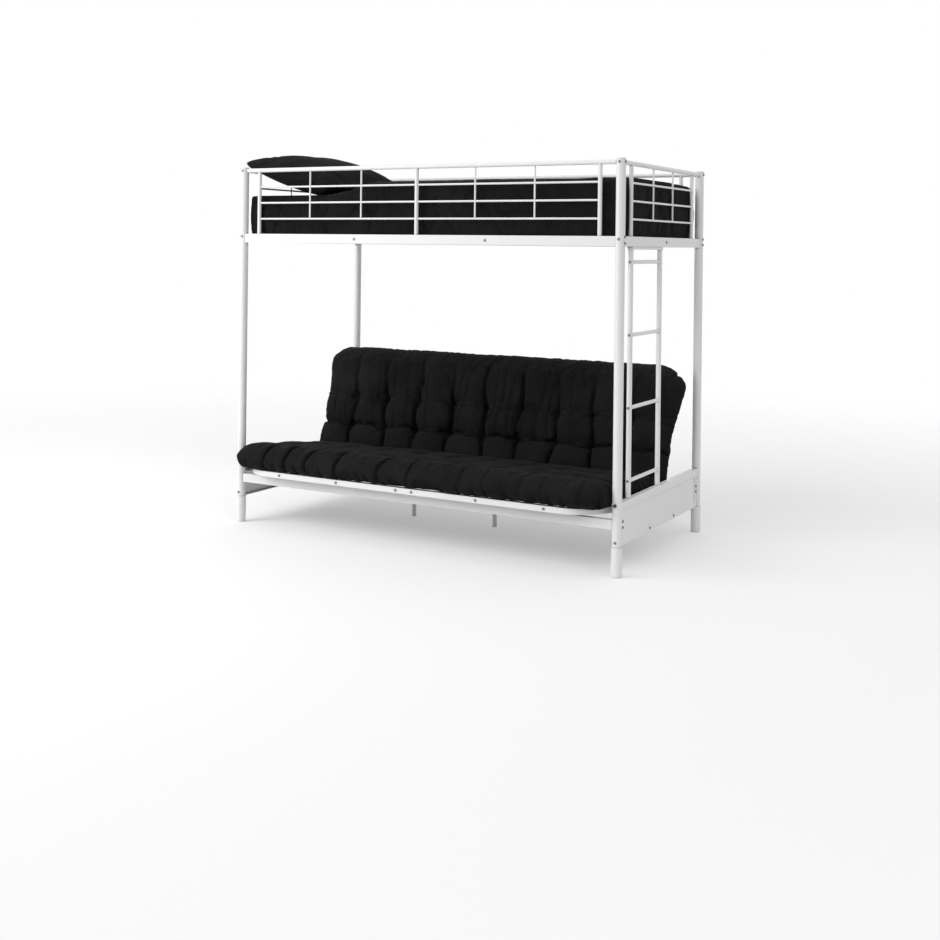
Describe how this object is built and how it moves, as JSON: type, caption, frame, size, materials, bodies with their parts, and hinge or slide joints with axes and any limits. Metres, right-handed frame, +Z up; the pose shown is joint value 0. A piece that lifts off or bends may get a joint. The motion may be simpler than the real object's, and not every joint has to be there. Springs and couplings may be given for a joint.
{
  "type": "loft bed",
  "caption": "Steel loft bed: a guarded sleeping deck on four posts with an end ladder, over a tufted futon that slides out and folds down flat.",
  "frame": {"origin": "on the floor, under the middle of the whole bed", "axes": "+X along the bed towards the ladder end, +Y to the back, +Z up"},
  "size_m": [2.007, 1.1036, 1.7701],
  "materials": {
    "white_paint": "satin white powder coat",
    "bolt": "dull zinc",
    "white_cap": "moulded white plastic",
    "black_plastic": "moulded black plastic",
    "futon_fabric": "black woven cotton, tufted",
    "bedding": "smooth black cotton"
  },
  "bodies": {
    "frame": {"deck_slats": "white_paint", "end_panel_left": "white_paint", "end_panel_right": "white_paint", "end_rail_left": "white_paint", "end_rail_right": "white_paint", "foot_caps": "white_cap", "guard_front": "white_paint", "guard_left": "white_paint", "guard_rear": "white_paint", "guard_right": "white_paint", "ladder_bolts": "bolt", "ladder_head_bar": "white_paint", "ladder_rung_1": "white_paint", "ladder_rung_2": "white_paint", "ladder_rung_3": "white_paint", "ladder_rung_4": "white_paint", "ladder_stile_front": "white_paint", "ladder_stile_rear": "white_paint", "leg_front_left": "white_paint", "leg_front_right": "white_paint", "leg_rear_left": "white_paint", "leg_rear_right": "white_paint", "lock_knob": "black_plastic", "panel_bolts": "bolt", "pillow": "bedding", "post_bolts": "bolt", "post_caps": "white_cap", "post_front_left": "white_paint", "post_front_right": "white_paint", "post_rear_left": "white_paint", "post_rear_right": "white_paint", "rail_bolts": "bolt", "side_rail_front": "white_paint", "side_rail_rear": "white_paint", "slide_track_left": "white_paint", "slide_track_right": "white_paint", "stretcher_front": "white_paint", "stretcher_rear": "white_paint", "upper_mattress": "bedding"},
    "seat": {"seat_front_rail": "white_paint", "seat_corner_left": "white_paint", "seat_corner_right": "white_paint", "seat_side_left": "white_paint", "seat_side_right": "white_paint", "seat_rear_bar": "white_paint", "seat_slats": "white_paint", "mid_leg_left": "white_paint", "mid_leg_right": "white_paint", "mid_leg_caps": "black_plastic", "glides": "black_plastic", "hinge_pins": "bolt", "seat_bolts": "bolt", "seat_cushion": "futon_fabric"},
    "back": {"back_side_left": "white_paint", "back_side_right": "white_paint", "back_top_rail": "white_paint", "back_bottom_bar": "white_paint", "back_slats": "white_paint", "back_cushion": "futon_fabric"}
  },
  "joints": [
    {"name": "seat_slide", "type": "slide", "parent": "frame", "child": "seat", "axis": [0, -1, 0], "range_m": [0, 0.3]},
    {"name": "back_recline", "type": "hinge", "parent": "seat", "child": "back", "pos_m": [0, 0.17825, 0.2605], "axis": [-1, 0, 0], "range_deg": [0, 60]}
  ],
  "couplings": [
    {"joint": "back_recline", "follows": "seat_slide", "rad_per_m": 3.4901}
  ]
}
